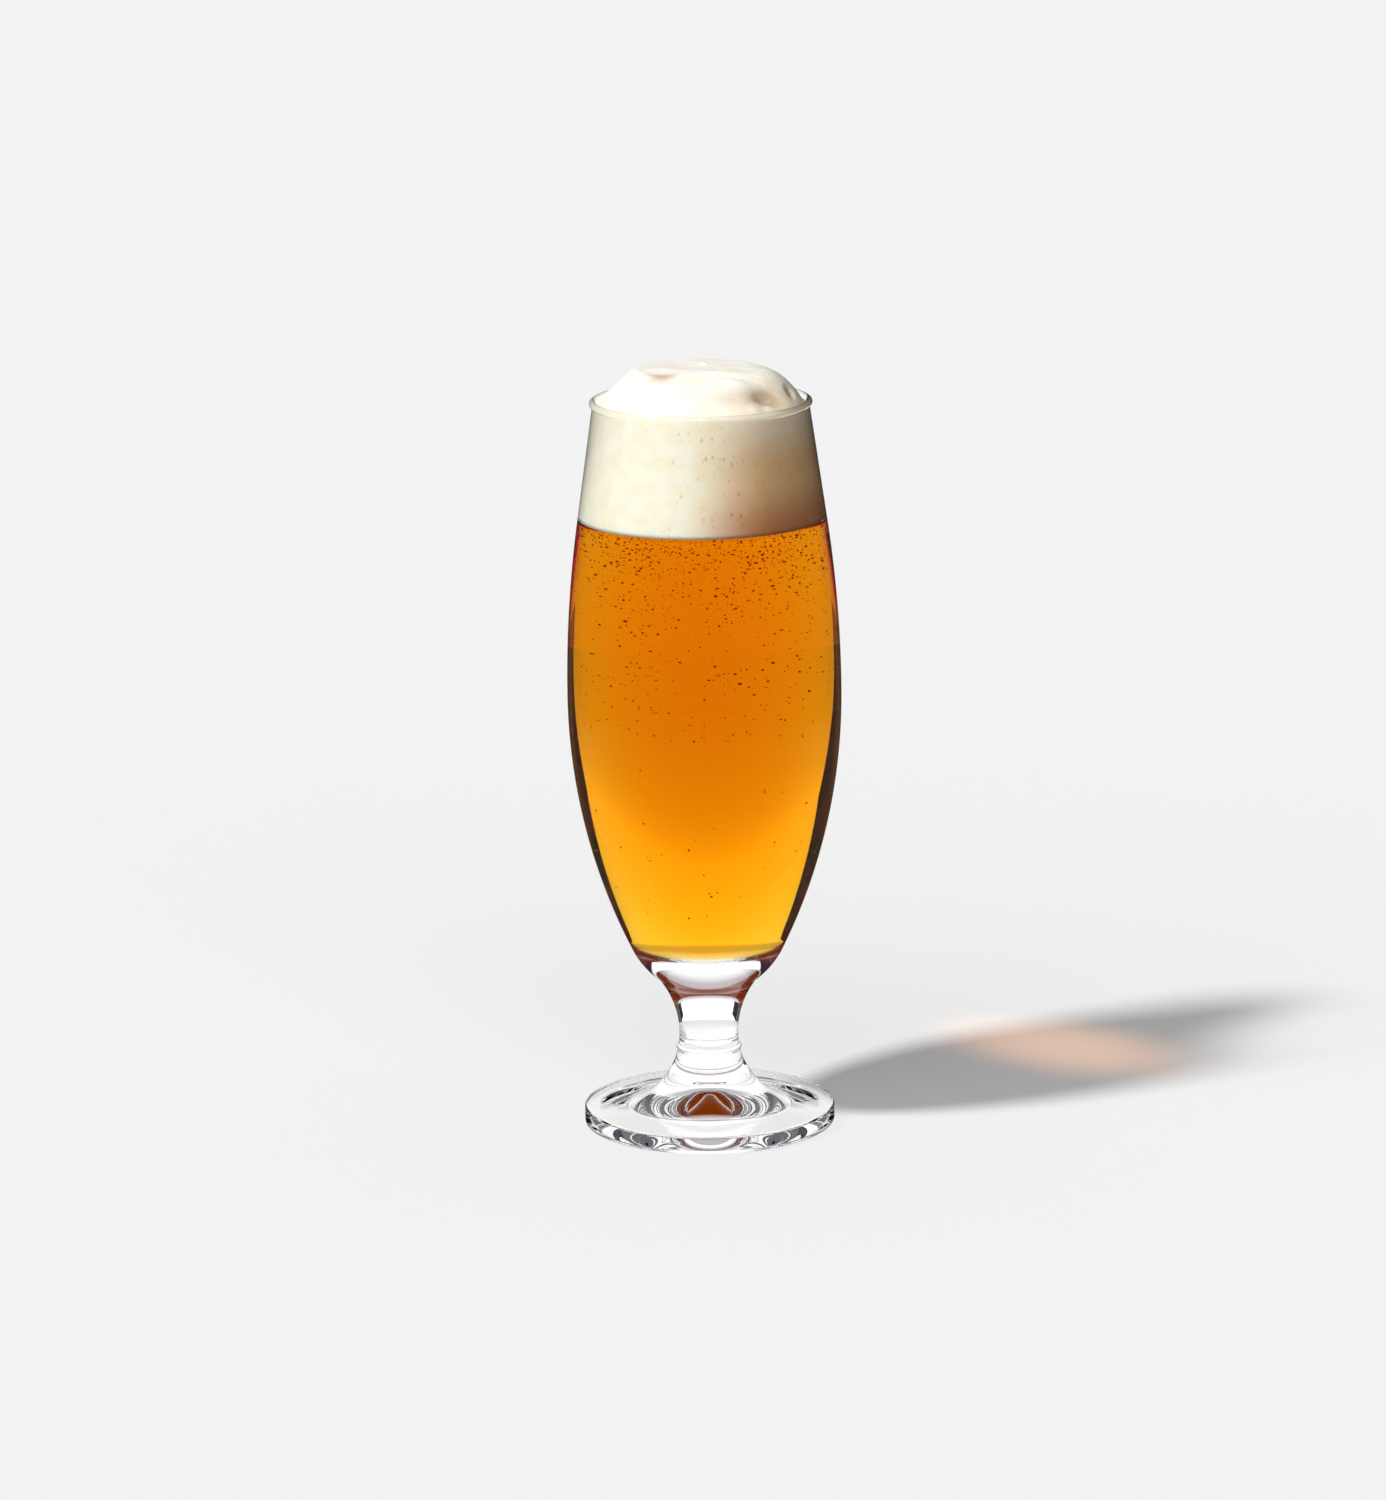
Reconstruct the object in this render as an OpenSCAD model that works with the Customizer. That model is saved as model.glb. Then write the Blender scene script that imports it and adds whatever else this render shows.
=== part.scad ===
// Stemmed beer glass: a blown barrel bowl, a waisted stem and a pressed foot,
// fused at two flat welds and filled with beer under a head of foam.
// The glass stands on the plane z = 0, and its axis is the z axis.
// Every piece is turned, so each outline lists [radius, height] pairs.

/* [Bowl] */
// Height of the bowl, from its weld on the stem up to the rim
bowl_h = 147.8; // [130:0.2:170]
// Height of the widest place above the weld
belly_rise = 73.6; // [64:0.2:84]
// Outside diameter at the widest place
belly_d = 68.4; // [62:0.2:78]
// Outside diameter of the wall just under the rim
mouth_d = 53.8; // [48:0.2:60]
// Length of the straight taper under the rim
mouth_run = 32; // [20:0.5:42]
// Outside diameter at the heel, where the side starts to round in
heel_d = 38.2; // [35:0.2:42]
// Height of the heel above the weld
heel_rise = 8; // [6:0.2:11]
// Wall at the mouth
mouth_wall = 1.2; // [1:0.1:1.6]
// Wall at the widest place
belly_wall = 1.7; // [1.2:0.1:2.4]
// Wall at the heel
heel_wall = 2.9; // [2:0.1:4]
// Solid glass between the weld and the inside floor
sham_t = 8; // [6:0.2:11]
// Radius of the inside corner round the floor
floor_round = 11; // [7:0.5:15]
// Thickness of the melted bead along the rim
rim_bead_d = 1.9; // [1.8:0.1:2.6]
// How far the bead leans out from the middle of the wall
bead_lean = 0.3; // [0:0.1:0.5]

/* [Stem] */
// Diameter of the weld between the stem and the bowl
bowl_weld_d = 25; // [21:0.2:29]
// Height of the bowl's weld above the narrowest place
stem_rise = 14.6; // [10:0.2:30]
// Diameter at the narrowest place
waist_d = 14.8; // [11:0.2:18]

/* [Foot] */
// Diameter of the foot
foot_d = 63.2; // [56:0.2:74]
// Height of the foot's edge and of the level ring on top of it
foot_edge_h = 4.4; // [3.4:0.1:6]
// Radius of the rounded corners of the edge
foot_edge_round = 0.5; // [0.4:0.1:1.2]
// Diameter of the crease where the sweep leaves the level ring
sweep_d = 41.4; // [36:0.2:48]
// Height of the narrowest place above the level ring
waist_rise = 18.2; // [15:0.2:22]
// Depth of the foot's weld below the narrowest place
weld_drop = 2.4; // [1:0.1:4]
// Thickness of the ring of glass pressed out under the foot's weld
weld_ring_d = 1.4; // [1:0.1:2]
// Width of the flat ring that the foot stands on
rest_ring_w = 3; // [1.5:0.1:5]
// Slope of the hollow under the foot, at its edge and near its middle, in degrees
hollow_edge_slope = 8; // [5:0.5:11]
hollow_mid_slope = 20; // [16:0.5:24]
// Radius of the rounded top of the hollow
hollow_tip_round = 12; // [8:0.5:16]

/* [Drink] */
// Depth of the foam inside the glass, from the rim down to the beer
foam_depth = 29.8; // [15:0.2:45]
// Rise of the foam above the rim
crown_h = 8.5; // [6:0.5:16]

/* [Hidden] */

// Film that keeps the drink clear of the glass
drink_gap = 0.05;
// Gap between the foam and the bead of the rim
bead_gap = 0.3;
// How far a shape runs past the one that it joins
overrun = 1;
// Depth of the ring's middle below the foot's weld, as a share of its thickness
weld_ring_drop_share = 0.75;
// Radius of the foam's shoulder, as a share of its rise above the bead's underside
crown_round_share = 0.7;
// Steps along each arc of an outline, and around each turned piece
arc_steps = 24;
turn_steps = 144;

belly_r = belly_d / 2;
mouth_r = mouth_d / 2;
heel_r = heel_d / 2;
rim_bead_r = rim_bead_d / 2;
bowl_weld_r = bowl_weld_d / 2;
waist_r = waist_d / 2;
foot_r = foot_d / 2;

// Foot: the sweep starts at the crease on the level ring and is upright at the waist
sweep_r = sweep_d / 2;
edge_top_centre = [foot_r - foot_edge_round, foot_edge_h - foot_edge_round];
edge_low_centre = [foot_r - foot_edge_round, foot_edge_round];
waist_z = foot_edge_h + waist_rise;
flare_round = (pow(sweep_r - waist_r, 2) + pow(waist_rise, 2)) / (2 * (sweep_r - waist_r));
flare_centre = [waist_r + flare_round, waist_z];
crease_angle = 180 + asin(waist_rise / flare_round);
foot_weld_angle = 180 + asin(weld_drop / flare_round);

// Hollow: a side that steepens inwards from the ring that the foot stands on, and a
// rounded top tangent to it on the axis
rest_r = edge_low_centre.x - rest_ring_w;
hollow_tip_r = hollow_tip_round * sin(hollow_mid_slope);
hollow_side_round = (rest_r - hollow_tip_r) / (sin(hollow_mid_slope) - sin(hollow_edge_slope));
hollow_side_centre = [rest_r, 0] + hollow_side_round * [sin(hollow_edge_slope), cos(hollow_edge_slope)];
hollow_tip_z = hollow_side_centre.y - hollow_side_round * cos(hollow_mid_slope);
hollow_tip_centre = [0, hollow_tip_z - hollow_tip_round * cos(hollow_mid_slope)];

// Heights above the table
foot_weld_z = waist_z - weld_drop;
bowl_weld_z = waist_z + stem_rise;
heel_z = bowl_weld_z + heel_rise;
floor_z = bowl_weld_z + sham_t;
belly_z = bowl_weld_z + belly_rise;
rim_z = bowl_weld_z + bowl_h;
mouth_z = rim_z - rim_bead_r;
beer_z = rim_z - foam_depth;
bead_under_z = mouth_z - rim_bead_r - bead_gap;
crown_z = rim_z + crown_h;

// Stem: one hollow arc, upright at the waist, that ends at the bowl's weld
stem_flare = bowl_weld_r - waist_r;
stem_round = (pow(stem_flare, 2) + pow(stem_rise, 2)) / (2 * stem_flare);
stem_centre = [waist_r + stem_round, waist_z];

// Bowl, above the belly: an arc that is upright there and runs into a straight taper
mouth_rise = mouth_z - belly_z;
function taper(belly, mouth) = 2 * atan((belly - mouth) / (mouth_rise + mouth_run));
function upper_round(lean) = (mouth_rise - mouth_run * cos(lean)) / sin(lean);

// Bowl, below the belly: an arc that is upright there and passes through the heel
heel_drop = belly_z - heel_z;
function lower_round(belly, heel) = (pow(heel_drop, 2) + pow(belly - heel, 2)) / (2 * (belly - heel));

belly_in_r = belly_r - belly_wall;
mouth_in_r = mouth_r - mouth_wall;
heel_in_r = heel_r - heel_wall;

lean_out = taper(belly_r, mouth_r);
upper_out = upper_round(lean_out);
lower_out = lower_round(belly_r, heel_r);
lean_in = taper(belly_in_r, mouth_in_r);
upper_in = upper_round(lean_in);
lower_in = lower_round(belly_in_r, heel_in_r);
upper_in_centre = [belly_in_r - upper_in, belly_z];
lower_in_centre = [belly_in_r - lower_in, belly_z];

// Base: an arc that leaves the heel along the side and ends at the weld
heel_lean = asin(heel_drop / lower_out);
base_chord = [heel_r - bowl_weld_r, heel_rise];
base_turn = atan2(base_chord.x, base_chord.y) - heel_lean;
base_round = norm(base_chord) / (2 * sin(base_turn));
base_centre = [heel_r, heel_z] - base_round * [cos(heel_lean), -sin(heel_lean)];

// Floor: a corner that touches the inner side and the flat floor
corner_z = floor_z + floor_round;
corner_r = lower_in_centre.x + sqrt(pow(lower_in - floor_round, 2) - pow(belly_z - corner_z, 2));
corner_centre = [corner_r, corner_z];
corner_lean = atan2(belly_z - corner_z, corner_r - lower_in_centre.x);

// Foam: a shoulder that stands upright inside the bead and a flatter cap tangent to it
bead_centre = [mouth_r - mouth_wall / 2 + bead_lean, mouth_z];
crown_r = bead_centre.x - rim_bead_r - bead_gap;
crown_round = crown_round_share * (crown_z - bead_under_z);
shoulder_r = crown_r - crown_round;
cap_rise = crown_z - bead_under_z - crown_round;
cap_reach = (pow(shoulder_r, 2) + pow(cap_rise, 2)) / (2 * cap_rise);
cap_round = cap_reach + crown_round;
cap_lean = atan2(cap_reach - cap_rise, shoulder_r);

// Points along an arc, from one angle to another
function arc(centre, radius, from, to) = [
    for (i = [0 : arc_steps])
        let (a = from + (to - from) * i / arc_steps)
        centre + radius * [cos(a), sin(a)]
];

// Outside of the bowl, from the weld up to the mouth
function bowl_outside() = concat(
    arc(base_centre, base_round, -heel_lean - 2 * base_turn, -heel_lean),
    arc([belly_r - lower_out, belly_z], lower_out, -heel_lean, 0),
    arc([belly_r - upper_out, belly_z], upper_out, 0, lean_out),
    [[mouth_r, mouth_z]]
);

// Inside of the bowl, from the mouth down to the floor, drawn in by a gap
function bowl_inside(gap) = concat(
    [[mouth_in_r, mouth_z] - gap * [cos(lean_in), sin(lean_in)]],
    arc(upper_in_centre, upper_in - gap, lean_in, 0),
    arc(lower_in_centre, lower_in - gap, 0, -corner_lean),
    arc(corner_centre, floor_round - gap, -corner_lean, -90),
    [[0, floor_z + gap]]
);

module turned() rotate_extrude($fn = turn_steps) children();

// Outline of the drink between two heights
module drink_outline(low, high) {
    intersection() {
        polygon(concat(bowl_inside(drink_gap), [[0, mouth_z]]));
        translate([0, low]) square([belly_r, high - low]);
    }
}

module bowl() {
    color([0.92, 0.95, 0.97, 0.4]) {
        turned() polygon(concat([[0, bowl_weld_z]], bowl_outside(), bowl_inside(0)));
        turned() translate(bead_centre) circle(rim_bead_r, $fn = turn_steps);
    }
}

module stem() {
    stem_top_angle = 180 - asin(stem_rise / stem_round);
    color([0.90, 0.93, 0.95, 0.5]) turned() polygon(concat(
        [[0, foot_weld_z]],
        arc(flare_centre, flare_round, foot_weld_angle, 180),
        arc(stem_centre, stem_round, 180, stem_top_angle),
        [[0, bowl_weld_z]]
    ));
}

module foot() {
    foot_weld_r = flare_centre.x + flare_round * cos(foot_weld_angle);
    ring_z = foot_weld_z - weld_ring_drop_share * weld_ring_d;
    color([0.88, 0.91, 0.94, 0.5]) {
        turned() polygon(concat(
            [[0, foot_weld_z]],
            arc(flare_centre, flare_round, foot_weld_angle, crease_angle),
            arc(edge_top_centre, foot_edge_round, 90, 0),
            arc(edge_low_centre, foot_edge_round, 0, -90),
            arc(hollow_side_centre, hollow_side_round, 270 - hollow_edge_slope, 270 - hollow_mid_slope),
            arc(hollow_tip_centre, hollow_tip_round, 90 - hollow_mid_slope, 90)
        ));
        turned() translate([foot_weld_r, ring_z]) circle(d = weld_ring_d, $fn = turn_steps);
    }
}

module beer() {
    color([0.87, 0.47, 0.04, 0.85]) turned() drink_outline(floor_z, beer_z);
}

module foam_head() {
    color([0.97, 0.92, 0.83]) {
        turned() drink_outline(beer_z, bead_under_z);
        turned() polygon(concat(
            [[0, bead_under_z - overrun], [crown_r, bead_under_z - overrun]],
            arc([shoulder_r, bead_under_z], crown_round, 0, cap_lean),
            arc([0, crown_z - cap_round], cap_round, cap_lean, 90)
        ));
    }
}

bowl();
stem();
foot();
beer();
foam_head();
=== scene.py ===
"""A stemmed beer glass, full of beer under a head of foam, on a pale studio floor."""

import math

import bpy
import numpy as np
from mathutils import Matrix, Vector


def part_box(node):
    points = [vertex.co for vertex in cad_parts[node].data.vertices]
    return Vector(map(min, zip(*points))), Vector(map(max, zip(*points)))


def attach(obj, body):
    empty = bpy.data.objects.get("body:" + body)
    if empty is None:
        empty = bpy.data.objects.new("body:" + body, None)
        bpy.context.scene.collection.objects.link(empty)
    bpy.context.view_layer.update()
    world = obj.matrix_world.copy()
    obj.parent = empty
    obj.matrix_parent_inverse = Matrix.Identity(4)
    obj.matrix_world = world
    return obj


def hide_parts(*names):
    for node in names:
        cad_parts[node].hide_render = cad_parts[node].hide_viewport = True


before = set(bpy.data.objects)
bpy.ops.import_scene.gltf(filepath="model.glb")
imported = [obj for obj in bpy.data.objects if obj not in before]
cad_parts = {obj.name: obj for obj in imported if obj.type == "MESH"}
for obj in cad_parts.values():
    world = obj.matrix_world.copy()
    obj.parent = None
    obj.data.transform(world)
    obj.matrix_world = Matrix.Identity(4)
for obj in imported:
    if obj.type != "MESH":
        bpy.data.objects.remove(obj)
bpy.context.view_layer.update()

bl_info = {
    "name": "Stemmed Beer Glass",
    "version": (1, 0, 0),
    "blender": (4, 5, 0),
    "location": "View3D > Sidebar > Beer Glass",
    "description": "Builds a clear stemmed glass with its beer, foam, bubbles and studio",
    "category": "Add Mesh",
}

MM = 0.001
BODY = "root"
TURN_STEPS = 192
SEED = 7

# Length of beer that its colour is given for
SAMPLE_WAY = 20 * MM

# Backdrop as the camera sees it, and the studio as mirrors see it
BACKDROP = "f1f1f1"
DARK_STUDIO = (0.02, 0.02, 0.02)

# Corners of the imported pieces, which the sizes below start from
BOWL_LOW, BOWL_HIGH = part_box("bowl")
STEM_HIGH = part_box("stem")[1]
FOOT_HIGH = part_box("foot")[1]
BEER_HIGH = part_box("beer")[1]


def length(name, description, default):
    """A size in metres, shown to the user as a distance."""
    return bpy.props.FloatProperty(
        name=name, description=description, default=float(default), min=0.0, precision=5,
        unit="LENGTH", subtype="DISTANCE",
    )


def turn(name, description, degrees):
    """An angle, given here in degrees and shown to the user as an angle."""
    return bpy.props.FloatProperty(
        name=name, description=description, default=math.radians(degrees), subtype="ANGLE",
    )


def tint(name, description, hex_code):
    """A colour, given as an sRGB hex code and held as a linear colour."""
    return bpy.props.FloatVectorProperty(
        name=name, description=description, default=linear(hex_code), size=3, min=0.0, max=1.0,
        subtype="COLOR",
    )


def linear(hex_code):
    """The linear colour of an sRGB hex code such as f4e3c1."""
    parts = np.array([int(hex_code[i : i + 2], 16) for i in (0, 2, 4)]) / 255
    return tuple(np.where(parts <= 0.04045, parts / 12.92, ((parts + 0.055) / 1.055) ** 2.4))


class GlassSizes(bpy.types.PropertyGroup):
    """Sizes of the turned glass, from the frame where it has them."""

    rim_height: length("Rim height", "Height of the rim above the table", BOWL_HIGH[2])
    bowl_weld_height: length("Bowl weld height", "Height of the bowl's weld", BOWL_LOW[2])
    foot_weld_height: length("Foot weld height", "Height of the foot's weld", FOOT_HIGH[2])
    belly_radius: length("Belly radius", "Outside radius at the widest place", BOWL_HIGH[0])
    bowl_weld_radius: length("Bowl weld radius", "Radius of the stem's top", STEM_HIGH[0])
    foot_radius: length("Foot radius", "Radius of the foot", FOOT_HIGH[0])
    belly_rise: length("Belly rise", "Height of the widest place above the weld", 73.6 * MM)
    mouth_radius: length("Mouth radius", "Outside radius of the wall under the rim", 26.9 * MM)
    mouth_run: length("Mouth run", "Length of the straight taper under the rim", 32 * MM)
    heel_radius: length("Heel radius", "Outside radius where the side rounds in", 19.1 * MM)
    heel_rise: length("Heel rise", "Height of the heel above the weld", 8 * MM)
    mouth_wall: length("Mouth wall", "Wall at the mouth", 1.2 * MM)
    belly_wall: length("Belly wall", "Wall at the widest place", 1.7 * MM)
    heel_wall: length("Heel wall", "Wall at the heel", 2.9 * MM)
    sham: length("Sham", "Solid glass between the weld and the inside floor", 8 * MM)
    floor_round: length("Floor round", "Radius of the inside corner round the floor", 11 * MM)
    rim_bead: length("Rim bead", "Thickness of the melted bead along the rim", 1.9 * MM)
    waist_radius: length("Waist radius", "Radius of the narrowest place", 7.4 * MM)
    weld_drop: length("Weld drop", "Depth of the foot's weld below the waist", 2.4 * MM)
    weld_ring: length("Weld ring", "Thickness of the ring under the foot's weld", 1.4 * MM)
    foot_edge_height: length(
        "Foot edge height", "Height of the foot's edge and of the level ring on it", 4.4 * MM,
    )
    foot_edge_round: length("Foot edge round", "Radius of the edge's corners", 0.5 * MM)
    rest_ring: length("Rest ring", "Width of the flat ring under the foot", 3 * MM)
    sweep_radius: length("Sweep radius", "Radius of the crease where the foot sweeps up", 20.7 * MM)
    hollow_edge_slope: turn("Hollow edge slope", "Slope of the hollow under the foot, at its edge", 8)
    hollow_mid_slope: turn("Hollow middle slope", "Slope of the hollow near its middle", 20)
    hollow_tip_round: length("Hollow tip round", "Radius of the hollow's rounded top", 12 * MM)


class DrinkSizes(bpy.types.PropertyGroup):
    """Sizes and colours of the beer, its foam and its bubbles."""

    beer_height: length("Beer height", "Height of the beer line above the table", BEER_HIGH[2])
    crown_rise: length("Crown rise", "Height of the foam's level top above the rim", 7.5 * MM)
    contact: length("Contact", "How far the wet drink reaches into the glass", 0.06 * MM)
    bubble_radius: length("Bubble radius", "Radius of a middling bubble", 0.2 * MM)
    beer_colour: tint("Beer colour", "What 20 mm of the beer lets through of white light", "facd46")
    foam_colour: tint("Foam colour", "Colour of the foam in full light", "fbf7e4")


class StageSizes(bpy.types.PropertyGroup):
    """The camera's place, the floor and the light."""

    aim_height: length("Aim height", "Height of the point that the camera stands off from", 92.5 * MM)
    distance: length("Distance", "Distance from the camera to that point", 1471.5 * MM)
    elevation: turn("Elevation", "Height of the camera above the horizon", 13.25)
    roll: turn("Roll", "Lean of the camera to its side", 0.743)
    floor_colour: tint("Floor colour", "Colour of the floor", "f7f7f7")
    floor_reach: length("Floor reach", "Half the width of the floor", 12)
    key_tilt: turn("Key tilt", "Slope of the key light, from straight down", 42.5)
    key_turn: turn("Key turn", "Way that the key light comes from, round the glass", -60.8)
    key_spread: turn("Key spread", "Width of the key light as the glass sees it", 7)
    key_strength: bpy.props.FloatProperty(
        name="Key strength", description="Strength of the key light", default=0.72 * math.pi, min=0.0,
    )


def arc(centre, radius, start, end, steps):
    """Points on a circle about centre, from one angle to another, in radians, in even steps."""
    angle = np.linspace(start, end, steps + 1)
    return np.stack([centre[0] + radius * np.cos(angle), centre[1] + radius * np.sin(angle)], 1)


class GlassShape:
    """The arcs of the glass's outline, worked out from its sizes, as [radius, height] points.

    Each arc is tangent to the next one but at the two welds and the foot's crease. The bowl's side is
    upright at the belly and runs into a straight taper above it and into the rounded base below it. The
    foot's sweep starts at a crease on the level ring and is upright at the waist.
    """

    def __init__(self, g):
        self.g = g
        self.mouth_z = g.rim_height - g.rim_bead / 2
        self.belly_z = g.bowl_weld_height + g.belly_rise
        self.heel_z = g.bowl_weld_height + g.heel_rise
        self.floor_z = g.bowl_weld_height + g.sham
        self.waist_z = g.foot_weld_height + g.weld_drop

    def taper(self, belly, mouth):
        """Lean and arc radius of a side that is upright at the belly and straight at the mouth."""
        g = self.g
        rise = self.mouth_z - self.belly_z
        lean = 2 * math.atan((belly - mouth) / (rise + g.mouth_run))
        return lean, (rise - g.mouth_run * math.cos(lean)) / math.sin(lean)

    def side_round(self, belly, heel):
        """Radius of the arc that is upright at the belly and passes through the heel."""
        drop = self.belly_z - self.heel_z
        return (drop**2 + (belly - heel) ** 2) / (2 * (belly - heel))

    def bowl_outside(self):
        """From the weld up to the mouth: the base's arc, the lower side, the upper side, the taper."""
        g = self.g
        lower = self.side_round(g.belly_radius, g.heel_radius)
        lean = math.asin((self.belly_z - self.heel_z) / lower)
        chord = np.array([g.heel_radius - g.bowl_weld_radius, g.heel_rise])
        bend = math.atan2(chord[0], chord[1]) - lean
        base = np.hypot(*chord) / (2 * math.sin(bend))
        outward = np.array([math.cos(lean), -math.sin(lean)])
        centre = np.array([g.heel_radius, self.heel_z]) - base * outward
        mouth_lean, upper = self.taper(g.belly_radius, g.mouth_radius)
        return np.concatenate([
            arc(centre, base, -lean - 2 * bend, -lean, 24),
            arc((g.belly_radius - lower, self.belly_z), lower, -lean, 0, 36)[1:],
            arc((g.belly_radius - upper, self.belly_z), upper, 0, mouth_lean, 24)[1:],
        ])

    def bowl_inside(self, gap):
        """From the mouth down to the floor's middle, drawn in by gap, or pushed out if gap is negative.

        It is the straight taper, the upper side, the lower side, the corner round the floor and the floor.
        """
        g = self.g
        belly, mouth = g.belly_radius - g.belly_wall, g.mouth_radius - g.mouth_wall
        lean, upper = self.taper(belly, mouth)
        lower = self.side_round(belly, g.heel_radius - g.heel_wall)
        corner_z = self.floor_z + g.floor_round
        corner_drop = self.belly_z - corner_z
        corner_out = math.sqrt((lower - g.floor_round) ** 2 - corner_drop**2)
        corner_r = belly - lower + corner_out
        corner_lean = math.atan2(corner_drop, corner_out)
        top = np.array([[mouth - gap * math.cos(lean), self.mouth_z - gap * math.sin(lean)]])
        upper_arc = arc((belly - upper, self.belly_z), upper - gap, lean, 0, 24)
        run = np.linspace(0, 1, 17)[:-1, None]
        straight = top + run * (upper_arc[0] - top)
        corner = arc((corner_r, corner_z), g.floor_round - gap, -corner_lean, -math.pi / 2, 24)
        floor = np.linspace(corner[-1], (0, self.floor_z + gap), 9)
        return np.concatenate([
            straight,
            upper_arc,
            arc((belly - lower, self.belly_z), lower - gap, 0, -corner_lean, 36)[1:],
            corner[1:],
            floor[1:],
        ])

    def hollow(self, rest):
        """The hollow under the foot, from its middle out to the ring that the foot stands on.

        A round tip runs into an arc that eases from the middle slope to the edge slope.
        """
        g = self.g
        edge, mid = g.hollow_edge_slope, g.hollow_mid_slope
        tip = g.hollow_tip_round
        side = (rest - tip * math.sin(mid)) / (math.sin(mid) - math.sin(edge))
        centre = (rest + side * math.sin(edge), side * math.cos(edge))
        tip_z = centre[1] - (side + tip) * math.cos(mid)
        return np.concatenate([
            arc((0, tip_z), tip, math.pi / 2, math.pi / 2 - mid, 12),
            arc(centre, side, 3 * math.pi / 2 - mid, 3 * math.pi / 2 - edge, 36)[1:],
        ])

    def foot_and_stem(self):
        """From the middle of the hollow underneath, round the foot's edge and up to the bowl's weld."""
        g = self.g
        edge = g.foot_radius - g.foot_edge_round
        rest = edge - g.rest_ring
        rise = self.waist_z - g.foot_edge_height
        out = g.sweep_radius - g.waist_radius
        flare = (out**2 + rise**2) / (2 * out)
        flare_r = g.waist_radius + flare
        sweep = arc((flare_r, self.waist_z), flare, math.pi + math.asin(rise / flare), math.pi, 160)
        weld_r = flare_r - math.sqrt(flare**2 - g.weld_drop**2)
        ring_z = g.foot_weld_height - 0.75 * g.weld_ring
        ring = (g.weld_ring / 2) ** 2 - (sweep[:, 1] - ring_z) ** 2
        swollen = np.where(ring > 0, weld_r + np.sqrt(np.maximum(ring, 0)), 0)
        sweep[:, 0] = np.maximum(sweep[:, 0], swollen)
        stem_flare = g.bowl_weld_radius - g.waist_radius
        stem_rise = g.bowl_weld_height - self.waist_z
        stem = (stem_flare**2 + stem_rise**2) / (2 * stem_flare)
        stem_end = math.pi - math.asin(stem_rise / stem)
        return np.concatenate([
            self.hollow(rest),
            np.linspace((rest, 0), (edge, 0), 5)[1:],
            arc((edge, g.foot_edge_round), g.foot_edge_round, -math.pi / 2, 0, 12)[1:],
            arc((edge, g.foot_edge_height - g.foot_edge_round), g.foot_edge_round, 0, math.pi / 2, 12),
            np.linspace((edge, g.foot_edge_height), (g.sweep_radius, g.foot_edge_height), 17)[1:-1],
            sweep,
            arc((g.waist_radius + stem, self.waist_z), stem, math.pi, stem_end, 32)[1:],
        ])

    def rim(self):
        """Round the melted bead, from the outer wall over the top to the inner wall."""
        g = self.g
        bead = g.rim_bead / 2
        middle = g.mouth_radius - g.mouth_wall + bead
        meet = math.asin((g.mouth_wall - bead) / bead)
        return arc((middle, self.mouth_z), bead, -math.pi / 2 + meet, math.pi, 28)

    def outside(self):
        """The outline from the middle of the foot's hollow, up the outside and over the rim."""
        return np.concatenate([self.foot_and_stem(), self.bowl_outside()[1:], self.rim()])


def turned_surface(outline, steps=TURN_STEPS):
    """A surface of revolution: each outline point [radius, height] is carried round the z axis.

    The first and last points lie on the axis and become the poles.
    """
    angle = np.arange(steps) * 2 * np.pi / steps
    radius, height = outline[1:-1, :1], outline[1:-1, 1:]
    rings = np.stack(np.broadcast_arrays(radius * np.cos(angle), radius * np.sin(angle), height), 2)
    return closed_grid(rings, outline[0, 1], outline[-1, 1])


def closed_grid(rings, low, high):
    """Vertices and faces of a surface made of closed rings, an array of rings by steps by xyz.

    Quads join each ring to the next, and a fan of triangles closes each end at a pole on the axis.
    """
    count, steps = rings.shape[:2]
    here = np.arange(steps)
    there = (here + 1) % steps
    base = (np.arange(count - 1) * steps)[:, None]
    quads = np.stack([base + here, base + there, base + there + steps, base + here + steps], 2)
    end = (count - 1) * steps
    low_fan = np.stack([np.full(steps, count * steps), there, here], 1)
    high_fan = np.stack([end + here, end + there, np.full(steps, count * steps + 1)], 1)
    vertices = np.concatenate([rings.reshape(-1, 3), [[0, 0, low], [0, 0, high]]])
    return vertices, quads.reshape(-1, 4), np.concatenate([low_fan, high_fan])


def add_piece(name, grid, materials, nodes=()):
    """A smooth mesh at the origin that rides on the glass and stands for the named CAD nodes."""
    mesh = bpy.data.meshes.new(name)
    vertices, quads, fans = grid
    mesh.from_pydata(vertices.tolist(), [], quads.tolist() + fans.tolist())
    mesh.update()
    mesh.shade_smooth()
    for material in materials:
        mesh.materials.append(material)
    piece = bpy.data.objects.new(name, mesh)
    bpy.context.scene.collection.objects.link(piece)
    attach(piece, BODY)
    if nodes:
        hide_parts(*nodes)
    return piece


def add_node(tree, kind, inputs=(), **settings):
    """A shader node with its settings, and each named input linked to a socket or set to a value."""
    node = tree.nodes.new(kind)
    for key, value in settings.items():
        setattr(node, key, value)
    for key, value in dict(inputs).items():
        if isinstance(value, bpy.types.NodeSocket):
            tree.links.new(value, node.inputs[key])
        else:
            node.inputs[key].default_value = value
    return node


def ramp(tree, value, start, end, first=0.0, last=1.0, **settings):
    """A value that goes from first to last while another one goes from start to end."""
    return add_node(tree, "ShaderNodeMapRange", {
        "Value": value, "From Min": start, "From Max": end, "To Min": first, "To Max": last,
    }, **settings).outputs["Result"]


def product(tree, first, second):
    """Two values multiplied."""
    return add_node(tree, "ShaderNodeMath", {0: first, 1: second}, operation="MULTIPLY").outputs[0]


def noise(tree, place, scale, detail):
    """Soft blotches of values from 0 to 1, about scale of them to a metre."""
    return add_node(tree, "ShaderNodeTexNoise", {
        "Vector": place, "Scale": scale, "Detail": detail,
    }).outputs["Fac"]


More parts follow.
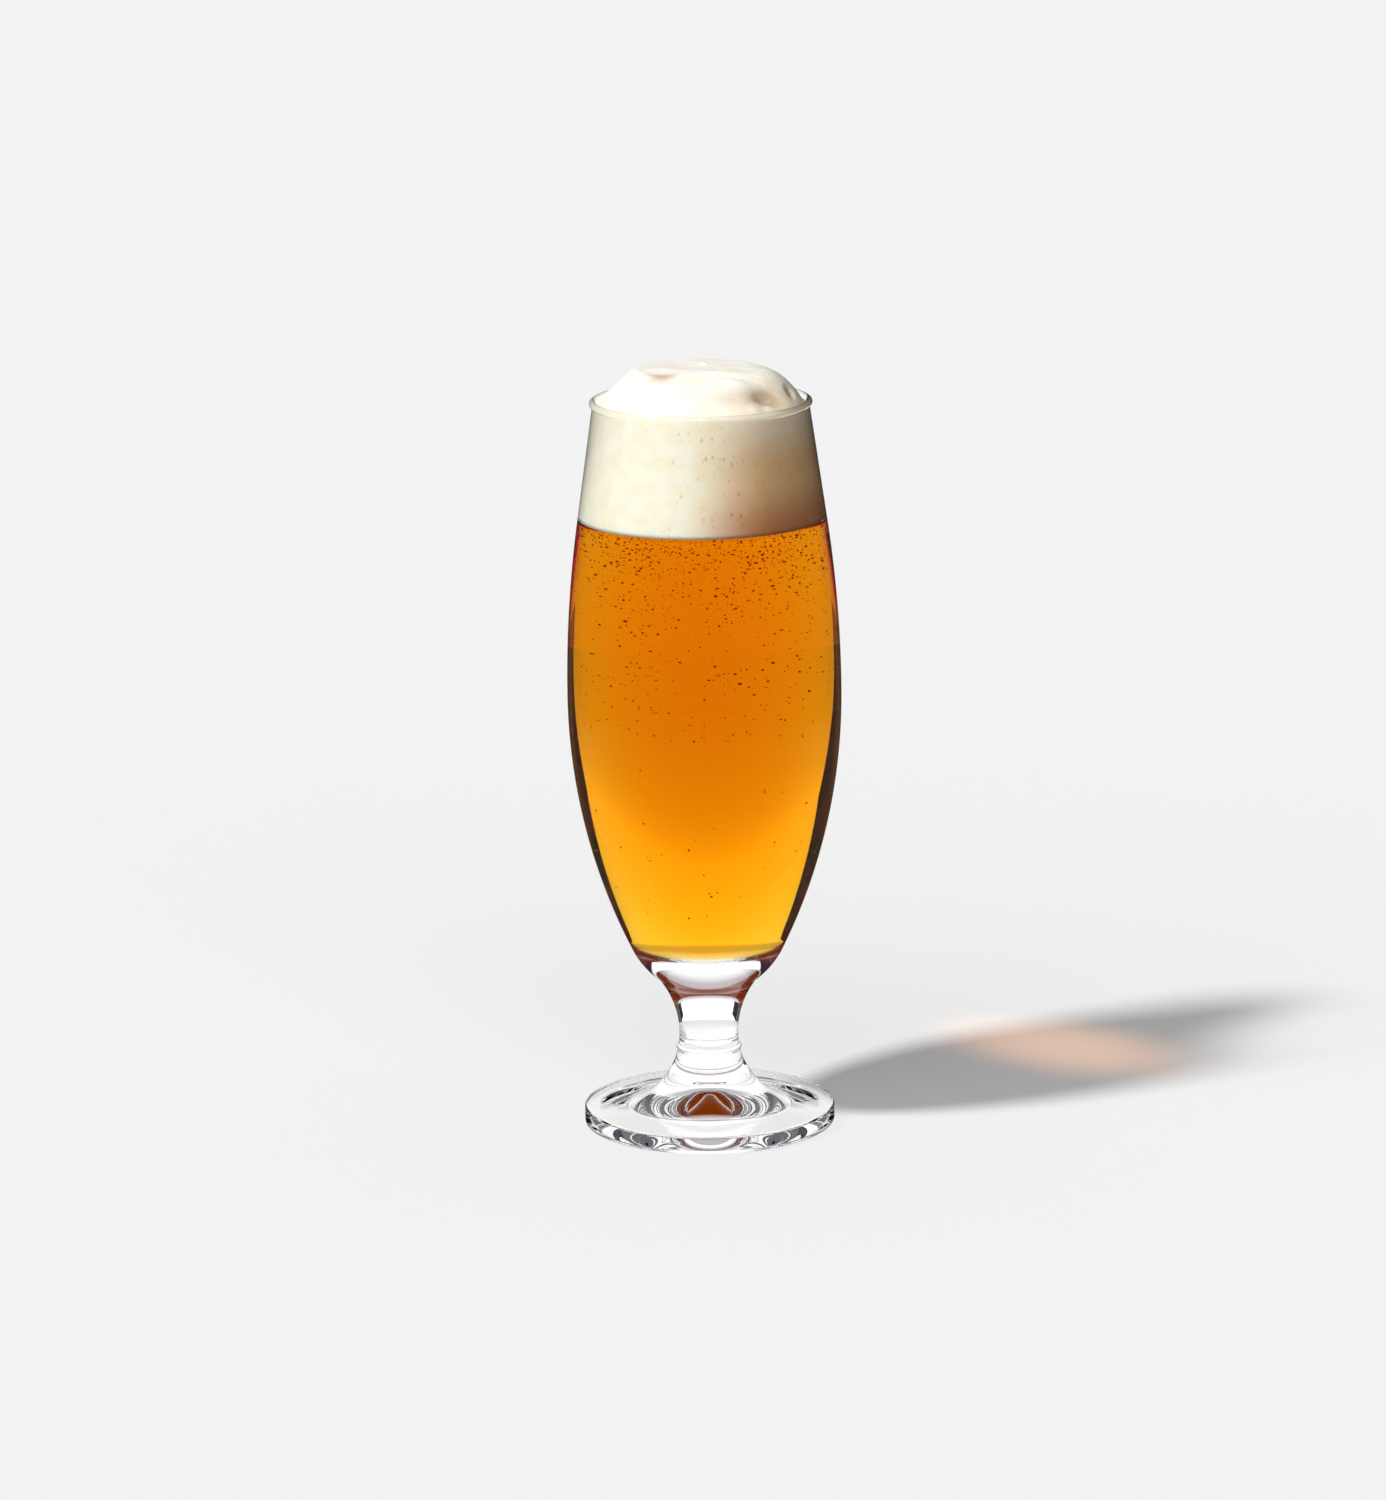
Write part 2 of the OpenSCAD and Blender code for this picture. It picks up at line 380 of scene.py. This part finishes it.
def glow(tree, colour, strength=1.0, kind="ShaderNodeEmission"):
    """A shader that only gives light."""
    return add_node(tree, kind, {"Color": (*colour, 1), "Strength": strength}).outputs[0]


def summed(tree, first, second):
    """Two shaders added."""
    return add_node(tree, "ShaderNodeAddShader", {0: first, 1: second}).outputs[0]


def mixed(tree, share, first, second):
    """The first shader turned into the second by a share from 0 to 1."""
    return add_node(tree, "ShaderNodeMixShader", {0: share, 1: first, 2: second}).outputs[0]


def by_ray(tree, usual, *others):
    """The usual shader, but another one for each kind of ray that is named with it."""
    path = add_node(tree, "ShaderNodeLightPath")
    for ray, other in others:
        usual = mixed(tree, path.outputs[ray], usual, other)
    return usual


def new_material(name):
    """An empty node material and its tree, with the output node in place."""
    material = bpy.data.materials.new(name)
    material.use_nodes = True
    material.node_tree.nodes.clear()
    return material, material.node_tree, add_node(material.node_tree, "ShaderNodeOutputMaterial")


def lamps_pass(tree, glass, passing):
    """Glass that rays from lamps and from matt things pass straight through, with a tint."""
    clear = add_node(tree, "ShaderNodeBsdfTransparent", {"Color": passing}).outputs[0]
    return by_ray(tree, glass, ("Is Diffuse Ray", clear), ("Is Shadow Ray", clear))


def soda_lime_glass(name, mirror):
    """Clear soda-lime glass, blown and fire-polished: sharp edges of light and no tint of its own.

    Where the wall is wet its inner face shows no mirror, because beer bends light nearly as glass does.
    """
    material, tree, output = new_material(name)
    glass = add_node(tree, "ShaderNodeBsdfPrincipled", {
        "Base Color": (1, 1, 1, 1),
        "Roughness": 0.0,
        "IOR": 1.52,
        "Transmission Weight": 1.0,
        "Specular Tint": (mirror, mirror, mirror, 1),
    })
    shader = lamps_pass(tree, glass.outputs[0], (0.97, 0.97, 0.97, 1))
    tree.links.new(shader, output.inputs["Surface"])
    return material


def filtered_lager(colour):
    """Bright filtered beer: clear, a darker amber the longer the way through, and painted yellower low
    down.
    """
    material, tree, output = new_material("filtered_amber_beer")
    place = add_node(tree, "ShaderNodeTexCoord").outputs["Object"]
    height = add_node(tree, "ShaderNodeSeparateXYZ", {0: place}).outputs["Z"]
    # Painted light: the surface is tinted yellower low down, for the look of light through the lower beer
    low_down = ramp(tree, height, 60 * MM, 120 * MM, 1.0, 0.0)
    off_floor = ramp(tree, height, 50 * MM, 58 * MM)
    yellower = add_node(tree, "ShaderNodeMixRGB", {
        "Fac": product(tree, low_down, off_floor), "Color1": (1, 1, 1, 1), "Color2": (0.9, 1, 1, 1),
    })
    liquid = add_node(tree, "ShaderNodeBsdfPrincipled", {
        "Base Color": yellower.outputs["Color"],
        "Roughness": 0.0,
        "IOR": 1.345,
        "Transmission Weight": 1.0,
        "Specular Tint": (0, 0, 0, 1),
    })
    shader = lamps_pass(tree, liquid.outputs[0], (0.12, 0.07, 0.05, 1))
    through = np.log(np.asarray(colour[:3])) / -SAMPLE_WAY
    headroom = 1.1
    density = float(through.max() * headroom)
    absorbed = add_node(tree, "ShaderNodeVolumeAbsorption", {
        "Color": (*(1 - through / density), 1), "Density": density,
    })
    tree.links.new(shader, output.inputs["Surface"])
    tree.links.new(absorbed.outputs[0], output.inputs["Volume"])
    return material


def wet_foam():
    """Dense beer foam: matt cream with a fine grain and faint blotches, and tan in small pits.

    The blotches are about 4 mm across, the pits stand about 1.5 mm apart, drawn out downwards, and the
    grain is about 0.7 mm. The foam's colours, with their painted light and shade, and where it is pitted,
    come with its points.
    """
    blotches_per_m, pits_per_m, grains_per_m = 240.0, 650.0, 1400.0
    material, tree, output = new_material("dense_beer_foam")
    place = add_node(tree, "ShaderNodeTexCoord").outputs["Object"]
    blotch = noise(tree, place, blotches_per_m, 4.0)
    drawn = add_node(tree, "ShaderNodeMapping", {"Vector": place, "Scale": (1.0, 1.0, 0.6)})
    cells = add_node(tree, "ShaderNodeTexVoronoi", {"Vector": drawn.outputs[0], "Scale": pits_per_m})
    pit = ramp(tree, cells.outputs["Distance"], 0.08, 0.3, 0.8, 0.0)
    sparse = ramp(tree, blotch, 0.46, 0.58)
    # The point colours bring painted shade and painted light as well as the foam's cream; their alpha says
    # how pitted it is
    tone = add_node(tree, "ShaderNodeAttribute", attribute_name="foam_tone_painted_light_and_shade").outputs
    pits = product(tree, product(tree, pit, sparse), tone["Alpha"])
    uneven = ramp(tree, blotch, 0.4, 0.7, 0.0, 0.5)
    creamy = add_node(tree, "ShaderNodeMixRGB", {
        "Fac": uneven, "Color1": tone["Color"], "Color2": (*linear("faeed6"), 1),
    }, blend_type="MULTIPLY")
    pitted = add_node(tree, "ShaderNodeMixRGB", {
        "Fac": pits, "Color1": creamy.outputs["Color"], "Color2": (*linear("c4a986"), 1),
    }, blend_type="MULTIPLY")
    fine = noise(tree, place, grains_per_m, 2.0)
    relief = add_node(tree, "ShaderNodeMath", {0: fine, 1: pits}, operation="SUBTRACT")
    grain = add_node(tree, "ShaderNodeBump", {
        "Height": relief.outputs[0], "Strength": 0.3, "Distance": 0.0002,
    })
    foam = add_node(tree, "ShaderNodeBsdfPrincipled", {
        "Base Color": pitted.outputs["Color"],
        "Roughness": 0.85,
        "Specular IOR Level": 0.2,
        "Subsurface Weight": 0.4,
        "Subsurface Radius": (1.0, 0.55, 0.25),
        "Subsurface Scale": 0.004,
        "Normal": grain.outputs["Normal"],
    })
    tree.links.new(foam.outputs[0], output.inputs["Surface"])
    return material


def foam_underside():
    """The foam's face on the beer: cream, and a painted glow for light that sinks through the foam."""
    material, tree, output = new_material("beer_foam_underside")
    face = add_node(tree, "ShaderNodeBsdfPrincipled", {
        "Base Color": (*linear("f5e6c4"), 1),
        "Roughness": 0.9,
        "Specular IOR Level": 0.0,
        # Painted light: a glow of its own, though it is no lamp
        "Emission Color": (0.25, 0.42, 0.4, 1),
        "Emission Strength": 1.0,
    })
    tree.links.new(face.outputs[0], output.inputs["Surface"])
    return material


def bubble_skin():
    """Small bubbles in beer: red-brown specks against the light, with a painted glow from inside."""
    material, tree, output = new_material("bubbles_in_amber_beer")
    skin = add_node(tree, "ShaderNodeBsdfPrincipled", {
        "Base Color": (*linear("a8480f"), 1),
        "Roughness": 0.4,
        "Specular IOR Level": 0.2,
        # Painted light: a faint glow of their own, though they are no lamp
        "Emission Color": (*linear("c8500c"), 1),
        "Emission Strength": 0.4,
    })
    tree.links.new(skin.outputs[0], output.inputs["Surface"])
    return material


class BEERGLASS_OT_glass(bpy.types.Operator):
    """Turns the bowl, the stem and the foot as one unbroken body of glass"""

    bl_idname = "beerglass.glass"
    bl_label = "Glass"

    def execute(self, context):
        shape = GlassShape(context.scene.beerglass_glass)
        outside = shape.outside()
        outline = np.concatenate([outside, shape.bowl_inside(0)[1:]])
        wet = (np.arange(len(outline)) >= len(outside))
        wet &= outline[:, 1] < context.scene.beerglass_drink.beer_height
        ends = [wet[0], wet[-1]]
        materials = (
            soda_lime_glass("soda_lime_glass_fire_polished", 1),
            soda_lime_glass("soda_lime_glass_wet", 0),
        )
        nodes = ("bowl", "stem", "foot")
        piece = add_piece("glass_body", turned_surface(outline), materials, nodes)
        index = np.repeat(np.concatenate([wet[2:-1], ends]), TURN_STEPS).astype(np.int32)
        piece.data.polygons.foreach_set("material_index", index)
        return {"FINISHED"}


def outline_up_to(outline, height):
    """The lower part of an outline that runs downwards, cut level at a height."""
    below = outline[:, 1] < height
    first = int(np.argmax(below))
    above, under = outline[first - 1], outline[first]
    share = (height - under[1]) / (above[1] - under[1])
    return np.concatenate([[under + share * (above - under)], outline[first:]])


class BEERGLASS_OT_beer(bpy.types.Operator):
    """Fills the bowl with beer up to the foam"""

    bl_idname = "beerglass.beer"
    bl_label = "Beer"

    def execute(self, context):
        drink = context.scene.beerglass_drink
        shape = GlassShape(context.scene.beerglass_glass)
        side = outline_up_to(shape.bowl_inside(-drink.contact), drink.beer_height)[::-1]
        top = np.linspace(side[-1], (0, drink.beer_height), 9)[1:]
        grid = turned_surface(np.concatenate([side, top]))
        add_piece("beer_fill", grid, [filtered_lager(drink.beer_colour)], ("beer",))
        return {"FINISHED"}


def ripple(points, waves, longest, shortest, rng):
    """A lumpy height for each point: the mean of folded sine waves of seeded directions and lengths.

    A folded wave is one less the size of a sine, so that round lumps meet in narrow creases.
    """
    direction = rng.normal(size=(3, waves))
    direction /= np.linalg.norm(direction, axis=0)
    span = np.geomspace(longest, shortest, waves)
    phase = rng.uniform(0, 2 * np.pi, waves)
    folded = 1 - np.abs(np.sin(points @ (direction * np.pi / span) + phase))
    mean_fold = 0.36
    return (folded * span).sum(2) / span.sum() - mean_fold


def hump(points, x, y, wide, deep):
    """A bell over a place on the foam's top, 1 at its middle and wide by deep, all in mm."""
    return np.exp(-(((points[..., 0] / MM - x) / wide) ** 2) - ((points[..., 1] / MM - y) / deep) ** 2)


def smooth(value, start, end):
    """0 up to start, 1 from end on, and an eased step between them."""
    share = np.clip((value - start) / (end - start), 0, 1)
    return share * share * (3 - 2 * share)


def mix(first, second, share):
    """The first colour turned into the second by a share from 0 to 1."""
    return np.asarray(first) * (1 - share) + np.asarray(second) * share


# Middle of the dimple in the foam's top, in mm
DIMPLE = (-9.3, -6.5)

# Humps and hollows in the foam's top, in mm: rise, x and y of the middle, width, depth front to back
CROWN_HUMPS = (
    (-0.9, *DIMPLE, 4.8, 4.0),
    (0.6, 0.8, 6, 1.2, 1.2),
    (0.6, 8, -12, 3.5, 1.2),
    (-1.8, 16, -14, 4.5, 4.0),
    (0.9, 13.6, -20, 1.6, 1.4),
    (0.9, 17.4, -17.6, 1.5, 1.4),
    (-1.8, 22, -6, 0.9, 1.8),
)


def foam_lumps(crown):
    """Rise of the foam's top at each of its points, in mm: small lumps all over, and the humps."""
    rng = np.random.default_rng(SEED)
    lumps = 0.7 * ripple(crown, 14, 16 * MM, 5 * MM, rng) + 0.2 * ripple(crown, 14, 3 * MM, 1 * MM, rng)
    for rise, *place in CROWN_HUMPS:
        lumps += rise * hump(crown, *place)
    return lumps


def foam_colours_painted_light_and_shade(rings, lumps, low, rim, drink):
    """A colour for each point of the foam, from its place before the lumps are raised.

    It is cream on the left, with painted shade and light on it: tan painted shade towards the right,
    a painted white top over the rim, grey painted shade in the dimple, the hollows and the creases and on
    the crown's right, and painted amber light low on the right, where the beer shines into the foam.
    """
    side_x, height = rings[..., 0], rings[..., 2]
    top = slice(-len(lumps), None)
    over_rim = height[top] - rim
    fading = 1 - smooth(over_rim, 0, drink.crown_rise)
    # Painted shade: tan towards the right, away from the key light, weaker near the rim and fading over
    # the crown
    shade = smooth(side_x, -6 * MM, 17 * MM)
    tan = shade * (1 - 0.7 * smooth(height, rim - 14 * MM, rim - 1 * MM))
    tan[top] *= fading
    # Painted shade: grey on the crown's right and in the dimple, the hollows and the creases between lumps
    grey = np.zeros_like(tan)
    grey[top] = 0.8 * shade[top] * smooth(over_rim, 0, 4 * MM) * fading
    grey[top] += 0.4 * hump(rings[top], *DIMPLE, 4.0, 3.0) + 0.7 * smooth(-lumps, 0.3, 1.5)
    # Painted shade and beer light: amber-brown low on the right, near the beer line
    amber = smooth(side_x, -8 * MM, 20 * MM) * smooth(low - height, -14 * MM, 0)
    # Painted light: the foam is whitened over the rim, lightening the crown's top
    white = 0.9 * smooth(height, rim - 2 * MM, rim + 2 * MM)
    tone = drink.foam_colour[:3]
    for colour, share in (("fefaf0", white), ("e7c08e", tan), ("c2ad92", grey), ("bd7d52", amber)):
        tone = mix(tone, linear(colour), np.clip(share, 0, 1)[..., None])
    return tone.reshape(-1, 3)


def foam_surface(shape, drink, steps=256):
    """The foam's rings: under it, up the wall, over the inside of the rim, then across the crown.

    The crown rises from its edge in a slope that eases into a level top, steepest on the right and
    gentlest in front, with lumps on it. The second result is a colour for each point, with painted light
    and shade in it, whose fourth value says how pitted the foam is, most of all down the middle of its
    wall.
    """
    off_beer, off_mouth, lip_in = 0.05 * MM, 0.3 * MM, 0.35 * MM
    left_run, right_more, front_more = 0.39, 0.15, 0.45
    g = shape.g
    angle = np.arange(steps) * 2 * np.pi / steps
    right = (1 + np.cos(angle)) / 2
    front = np.maximum(-np.sin(angle), 0) ** 2
    low = drink.beer_height + off_beer
    inside = outline_up_to(shape.bowl_inside(-drink.contact), shape.mouth_z - off_mouth)
    wall = outline_up_to(inside, low)[:1]
    side = np.concatenate([wall, inside[inside[:, 1] > low][::-1]])
    under = np.linspace((0, low), wall[0], 9)[1:-1]
    turned = np.concatenate([under, side])
    quarter = np.linspace(0, np.pi / 2, 10)[1:, None]
    lip = g.rim_height - (0.75 + 0.3 * right) * MM
    lip_r = side[-1, 0] - lip_in * (1 - np.cos(quarter)) + 0 * angle
    lip_z = side[-1, 1] + (lip - side[-1, 1]) * np.sin(quarter)
    inward = np.linspace(0, 1, 84)[1:-1, None]
    climb = np.minimum(inward / (left_run + right_more * right + front_more * front), 1)
    slow = (climb - climb**6 / 6) * 1.2
    slope = (1 - right) * slow + right * (1 - (1 - climb) ** 2.6)
    level = g.rim_height + drink.crown_rise
    crown_r = lip_r[-1] * (1 - inward)
    crown_z = lip_z[-1] + (level - lip_z[-1]) * slope
    radius = np.concatenate([np.broadcast_to(turned[:, :1], (len(turned), steps)), lip_r, crown_r])
    height = np.concatenate([np.broadcast_to(turned[:, 1:], (len(turned), steps)), lip_z, crown_z])
    rings = np.stack([radius * np.cos(angle), radius * np.sin(angle), height], 2)
    crown = rings[-len(crown_r):]
    lumps = foam_lumps(crown)
    # Point colours with painted shade and painted light in them
    tone = foam_colours_painted_light_and_shade(rings, lumps, low, g.rim_height, drink)
    lift = lumps * MM * np.minimum(1, 6 * inward)
    outward = 0.8 * (1 - slope)
    crown[..., 0] += lift * outward * np.cos(angle)
    crown[..., 1] += lift * outward * np.sin(angle)
    crown[..., 2] += lift
    down_middle = np.exp(-(((rings[..., 0] / MM - 3) / 9) ** 2))
    under_rim = smooth(-height, -g.rim_height, 3 * MM - g.rim_height)
    pitted = 0.1 + 0.9 * down_middle * under_rim
    tone = np.concatenate([tone, pitted.reshape(-1, 1)], 1)
    return closed_grid(rings, low, crown[-1, :, 2].mean()), np.concatenate([tone, tone[:1], tone[-1:]])


class BEERGLASS_OT_foam(bpy.types.Operator):
    """Lays the head of foam on the beer"""

    bl_idname = "beerglass.foam"
    bl_label = "Foam"

    def execute(self, context):
        drink = context.scene.beerglass_drink
        grid, tone = foam_surface(GlassShape(context.scene.beerglass_glass), drink)
        materials = (wet_foam(), foam_underside())
        piece = add_piece("foam_cap", grid, materials, ("foam_head",))
        vertices, quads, fans = grid
        seam = drink.beer_height + 0.1 * MM
        under = [vertices[faces, 2].max(1) < seam for faces in (quads, fans)]
        piece.data.polygons.foreach_set("material_index", np.concatenate(under).astype(np.int32))
        # The point colours, with their painted shade and light, go on the foam
        tones = piece.data.attributes.new("foam_tone_painted_light_and_shade", "FLOAT_COLOR", "POINT")
        tones.data.foreach_set("color", tone.ravel())
        return {"FINISHED"}


class BEERGLASS_OT_bubbles(bpy.types.Operator):
    """Scatters small bubbles in the beer, most of them close under the foam"""

    bl_idname = "beerglass.bubbles"
    bl_label = "Bubbles"

    def execute(self, context):
        drink = context.scene.beerglass_drink
        inside = GlassShape(context.scene.beerglass_glass).bowl_inside(0)[::-1]
        rng = np.random.default_rng(SEED)
        # Most lie close under the foam, some lie evenly through the upper half, and a few lie low down
        near, mid, deep = 1300, 520, 60
        off_foam, off_wall = 0.5 * MM, 1.5 * MM
        below = np.concatenate([
            rng.exponential(7, near), rng.uniform(4, 52, mid), rng.uniform(62, 100, deep),
        ]) * MM + off_foam
        count = len(below)
        height = drink.beer_height - below
        wide = np.interp(height, inside[:, 1], inside[:, 0]) - off_wall
        radius = wide * np.sqrt(rng.uniform(0.15, 1, count))
        angle = rng.uniform(0, 2 * np.pi, count)
        size = drink.bubble_radius * np.clip(rng.lognormal(-0.25, 0.35, count), 0.5, 1.6)
        centre = np.stack([radius * np.cos(angle), radius * np.sin(angle), height], 1)
        ball = arc((0, 0), 1, -np.pi / 2, np.pi / 2, 4)
        points, quads, fans = turned_surface(ball, 8)
        vertices = (centre[:, None] + size[:, None, None] * points).reshape(-1, 3)
        first = np.arange(count)[:, None, None] * len(points)
        grid = vertices, (first + quads).reshape(-1, 4), (first + fans).reshape(-1, 3)
        add_piece("bubbles", grid, [bubble_skin()])
        return {"FINISHED"}


def point_camera(stage):
    """A camera that stands off from a point on the axis, raised, rolled and aimed as in the photograph.

    The frame is 1386 by 1500 pixels, and the point on the axis lands at the named pixel.
    """
    frame_wide, frame_high = 1386, 1500
    sensor_mm = 36
    focal_pixels = 5878.9
    axis_pixel = np.array([705.36, 763.27])
    up_tilt, roll = stage.elevation, stage.roll
    forward = np.array([0, math.cos(up_tilt), -math.sin(up_tilt)])
    right = np.array([1.0, 0, 0])
    up = np.cross(right, forward)
    rolled_right = math.cos(roll) * right - math.sin(roll) * up
    rolled_up = math.sin(roll) * right + math.cos(roll) * up
    off = (axis_pixel - np.array([frame_wide, frame_high]) / 2) / focal_pixels
    look = forward - off[0] * rolled_right + off[1] * rolled_up
    look /= np.linalg.norm(look)
    side = rolled_right - look * (rolled_right @ look)
    side /= np.linalg.norm(side)
    top = np.cross(side, look)
    place = np.array([0, 0, stage.aim_height]) - stage.distance * forward
    matrix = np.eye(4)
    matrix[:3] = np.stack([side, top, -look, place], 1)
    camera = bpy.data.cameras.new("camera")
    camera.sensor_fit = "AUTO"
    camera.sensor_width = sensor_mm
    camera.lens = sensor_mm * focal_pixels / max(frame_wide, frame_high)
    camera.clip_start, camera.clip_end = 0.05, 60
    holder = bpy.data.objects.new("camera", camera)
    holder.matrix_world = Matrix(matrix.tolist())
    bpy.context.scene.collection.objects.link(holder)
    bpy.context.scene.camera = holder


def floor_spot(tree, place, centre, degrees, reach, most):
    """An oval spot on the floor: most in its middle, fading to nothing at its edge."""
    spot = add_node(tree, "ShaderNodeMapping", {
        "Vector": place,
        "Location": (*centre, 0),
        "Rotation": (0, 0, math.radians(degrees)),
        "Scale": (*reach, 1),
    }, vector_type="TEXTURE")
    away = add_node(tree, "ShaderNodeVectorMath", {0: spot.outputs[0]}, operation="LENGTH")
    return ramp(tree, away.outputs["Value"], 0.2, 1.2, most, 0.0, interpolation_type="SMOOTHSTEP")


class BEERGLASS_OT_stage(bpy.types.Operator):
    """Sets the floor, the light and the camera"""

    bl_idname = "beerglass.stage"
    bl_label = "Studio"

    def execute(self, context):
        scene = context.scene
        stage = scene.beerglass_stage
        scene.view_settings.view_transform = "Standard"
        scene.cycles.max_bounces = 32
        scene.cycles.transmission_bounces = 32
        scene.cycles.glossy_bounces = 12
        scene.cycles.transparent_max_bounces = 24
        point_camera(stage)
        self.floor(scene, stage)
        self.key(scene, stage)
        self.cards(scene)
        self.world(scene)
        return {"FINISHED"}

    def sheet(self, scene, name, lower, upper, material):
        """A stage piece between two rows of points."""
        count = len(lower)
        here = np.arange(count - 1)
        faces = np.stack([here, here + 1, here + 1 + count, here + count], 1)
        mesh = bpy.data.meshes.new(name)
        mesh.from_pydata(np.concatenate([lower, upper]).tolist(), [], faces.tolist())
        mesh.materials.append(material)
        sheet = bpy.data.objects.new(name, mesh)
        scene.collection.objects.link(sheet)
        return sheet

    def floor(self, scene, stage):
        """A wide pale floor, which mirrors see as a dark studio.

        Two spots are drawn on it: the amber light that the beer throws into its shadow, and a pale one
        that fades the shadow's far end. Through the glass it looks brighter close by and far off.
        """
        material, tree, output = new_material("matt_white_paper")
        paper = add_node(tree, "ShaderNodeBsdfDiffuse", {"Color": (*stage.floor_colour[:3], 1)})
        place = add_node(tree, "ShaderNodeTexCoord").outputs["Object"]
        in_shadow = floor_spot(tree, place, (0.094, 0.062), -40, (0.042, 0.025), 1.0)
        far_end = floor_spot(tree, place, (0.168, 0.076), 48, (0.06, 0.032), 0.92)
        amber = glow(tree, (0.36, 0.165, 0.06), in_shadow)
        pale = glow(tree, linear(BACKDROP))
        lit = mixed(tree, far_end, summed(tree, paper.outputs[0], amber), pale)
        away = add_node(tree, "ShaderNodeVectorMath", {0: place}, operation="LENGTH").outputs["Value"]
        close_by = glow(tree, (1, 1, 1), ramp(tree, away, 0.06, 0.26, 0.27, 0.0))
        far_off = glow(tree, (0.55, 0.55, 0.55), ramp(tree, away, 0.48, 1.2))
        through = summed(tree, lit, summed(tree, close_by, far_off))
        # For matt things the floor is only a dim warm painted glow, a stand-in for the light it throws
        # back
        shader = by_ray(
            tree, lit,
            ("Is Diffuse Ray", glow(tree, (0.16, 0.12, 0.07))),
            ("Is Glossy Ray", glow(tree, DARK_STUDIO)),
            ("Is Transmission Ray", through),
        )
        tree.links.new(shader, output.inputs["Surface"])
        reach, low = stage.floor_reach, -0.2 * MM
        front = np.array([(-reach, -reach, low), (reach, -reach, low)])
        self.sheet(scene, "floor", front, front + np.array([0, 2 * reach, 0]), material)

    def key(self, scene, stage):
        """The key light, from the front left, as the shadow tells."""
        lamp = bpy.data.lights.new("key", "SUN")
        lamp.energy = stage.key_strength
        lamp.angle = stage.key_spread
        key = bpy.data.objects.new("key", lamp)
        key.rotation_euler = (stage.key_tilt, 0, stage.key_turn)
        key.visible_glossy = False
        key.visible_transmission = False
        scene.collection.objects.link(key)

    def cards(self, scene):
        """Cards that only the glass sees and that turn with the camera.

        Two dark ones beside the backdrop draw the glass's edges, and a grey one goes round the front.
        """
        away, count = 0.42, 25
        dark, grey = (0.02, 0.025, 0.045), (0.14, 0.14, 0.16)
        for name, tone, start, end, low, far_low, high in (
            ("left_card", dark, -35.5, -52, 0.06, 0.0, 0.22),
            ("right_card", dark, 40.5, 52, 0.06, 0.0, 0.22),
            ("front_card", grey, 52, 308, 0.0, 0.0, 0.42),
        ):
            material, tree, output = new_material(name)
            tree.links.new(glow(tree, tone), output.inputs["Surface"])
            angle = np.radians(np.linspace(start, end, count))
            across, back = away * np.sin(angle), away * np.cos(angle)
            lower = np.stack([across, back, np.linspace(low, far_low, count)], 1)
            upper = np.stack([across, back, np.full(count, high)], 1)
            card = self.sheet(scene, name, lower, upper, material)
            card.visible_camera = card.visible_diffuse = False
            card.visible_glossy = card.visible_shadow = False
            follow = card.constraints.new("LOCKED_TRACK")
            follow.target = scene.camera
            follow.track_axis, follow.lock_axis = "TRACK_NEGATIVE_Y", "LOCK_Z"

    def world(self, scene):
        """Soft light for matt things, most of it from the front left, and what the camera and glass see.

        The camera sees a plain backdrop, glass sees it brighter and under a grey ceiling, and mirrors see
        a dark studio.
        """
        world = bpy.data.worlds.new("studio")
        world.use_nodes = True
        tree = world.node_tree
        tree.nodes.clear()
        toward = add_node(tree, "ShaderNodeTexCoord").outputs["Generated"]
        softbox_turn = math.radians(18)
        to_softbox = add_node(tree, "ShaderNodeVectorMath", {
            0: toward, 1: (-math.sin(softbox_turn), -math.cos(softbox_turn), 0),
        }, operation="DOT_PRODUCT").outputs["Value"]
        height = add_node(tree, "ShaderNodeSeparateXYZ", {0: toward}).outputs["Z"]
        kind = "ShaderNodeBackground"
        fill = glow(tree, (1, 1, 1), ramp(tree, to_softbox, 0.4, 0.7, 0.17, 1.7), kind)
        through = glow(tree, (1, 1, 1), ramp(tree, height, 0.3, 0.6, 1.43, 0.55), kind)
        shader = by_ray(
            tree, fill,
            ("Is Camera Ray", glow(tree, linear(BACKDROP), kind=kind)),
            ("Is Glossy Ray", glow(tree, DARK_STUDIO, kind=kind)),
            ("Is Transmission Ray", through),
        )
        add_node(tree, "ShaderNodeOutputWorld", {"Surface": shader})
        scene.world = world


class BEERGLASS_PT_panel(bpy.types.Panel):
    """Lists the sizes, the colours and the pieces"""

    bl_label = "Beer Glass"
    bl_idname = "BEERGLASS_PT_panel"
    bl_space_type = "VIEW_3D"
    bl_region_type = "UI"
    bl_category = "Beer Glass"

    def draw(self, context):
        scene = context.scene
        for group in (scene.beerglass_glass, scene.beerglass_drink, scene.beerglass_stage):
            box = self.layout.box()
            for name in group.__annotations__:
                box.prop(group, name)
        for operator in OPERATORS:
            self.layout.operator(operator.bl_idname)


OPERATORS = (
    BEERGLASS_OT_stage, BEERGLASS_OT_glass, BEERGLASS_OT_beer, BEERGLASS_OT_foam, BEERGLASS_OT_bubbles,
)
CLASSES = (GlassSizes, DrinkSizes, StageSizes, *OPERATORS, BEERGLASS_PT_panel)


def register():
    for cls in CLASSES:
        bpy.utils.register_class(cls)
    bpy.types.Scene.beerglass_glass = bpy.props.PointerProperty(type=GlassSizes)
    bpy.types.Scene.beerglass_drink = bpy.props.PointerProperty(type=DrinkSizes)
    bpy.types.Scene.beerglass_stage = bpy.props.PointerProperty(type=StageSizes)


def unregister():
    del bpy.types.Scene.beerglass_stage
    del bpy.types.Scene.beerglass_drink
    del bpy.types.Scene.beerglass_glass
    for cls in reversed(CLASSES):
        bpy.utils.unregister_class(cls)


def main():
    register()
    bpy.ops.beerglass.stage()
    bpy.ops.beerglass.glass()
    bpy.ops.beerglass.beer()
    bpy.ops.beerglass.foam()
    bpy.ops.beerglass.bubbles()


if __name__ == "__main__":
    main()
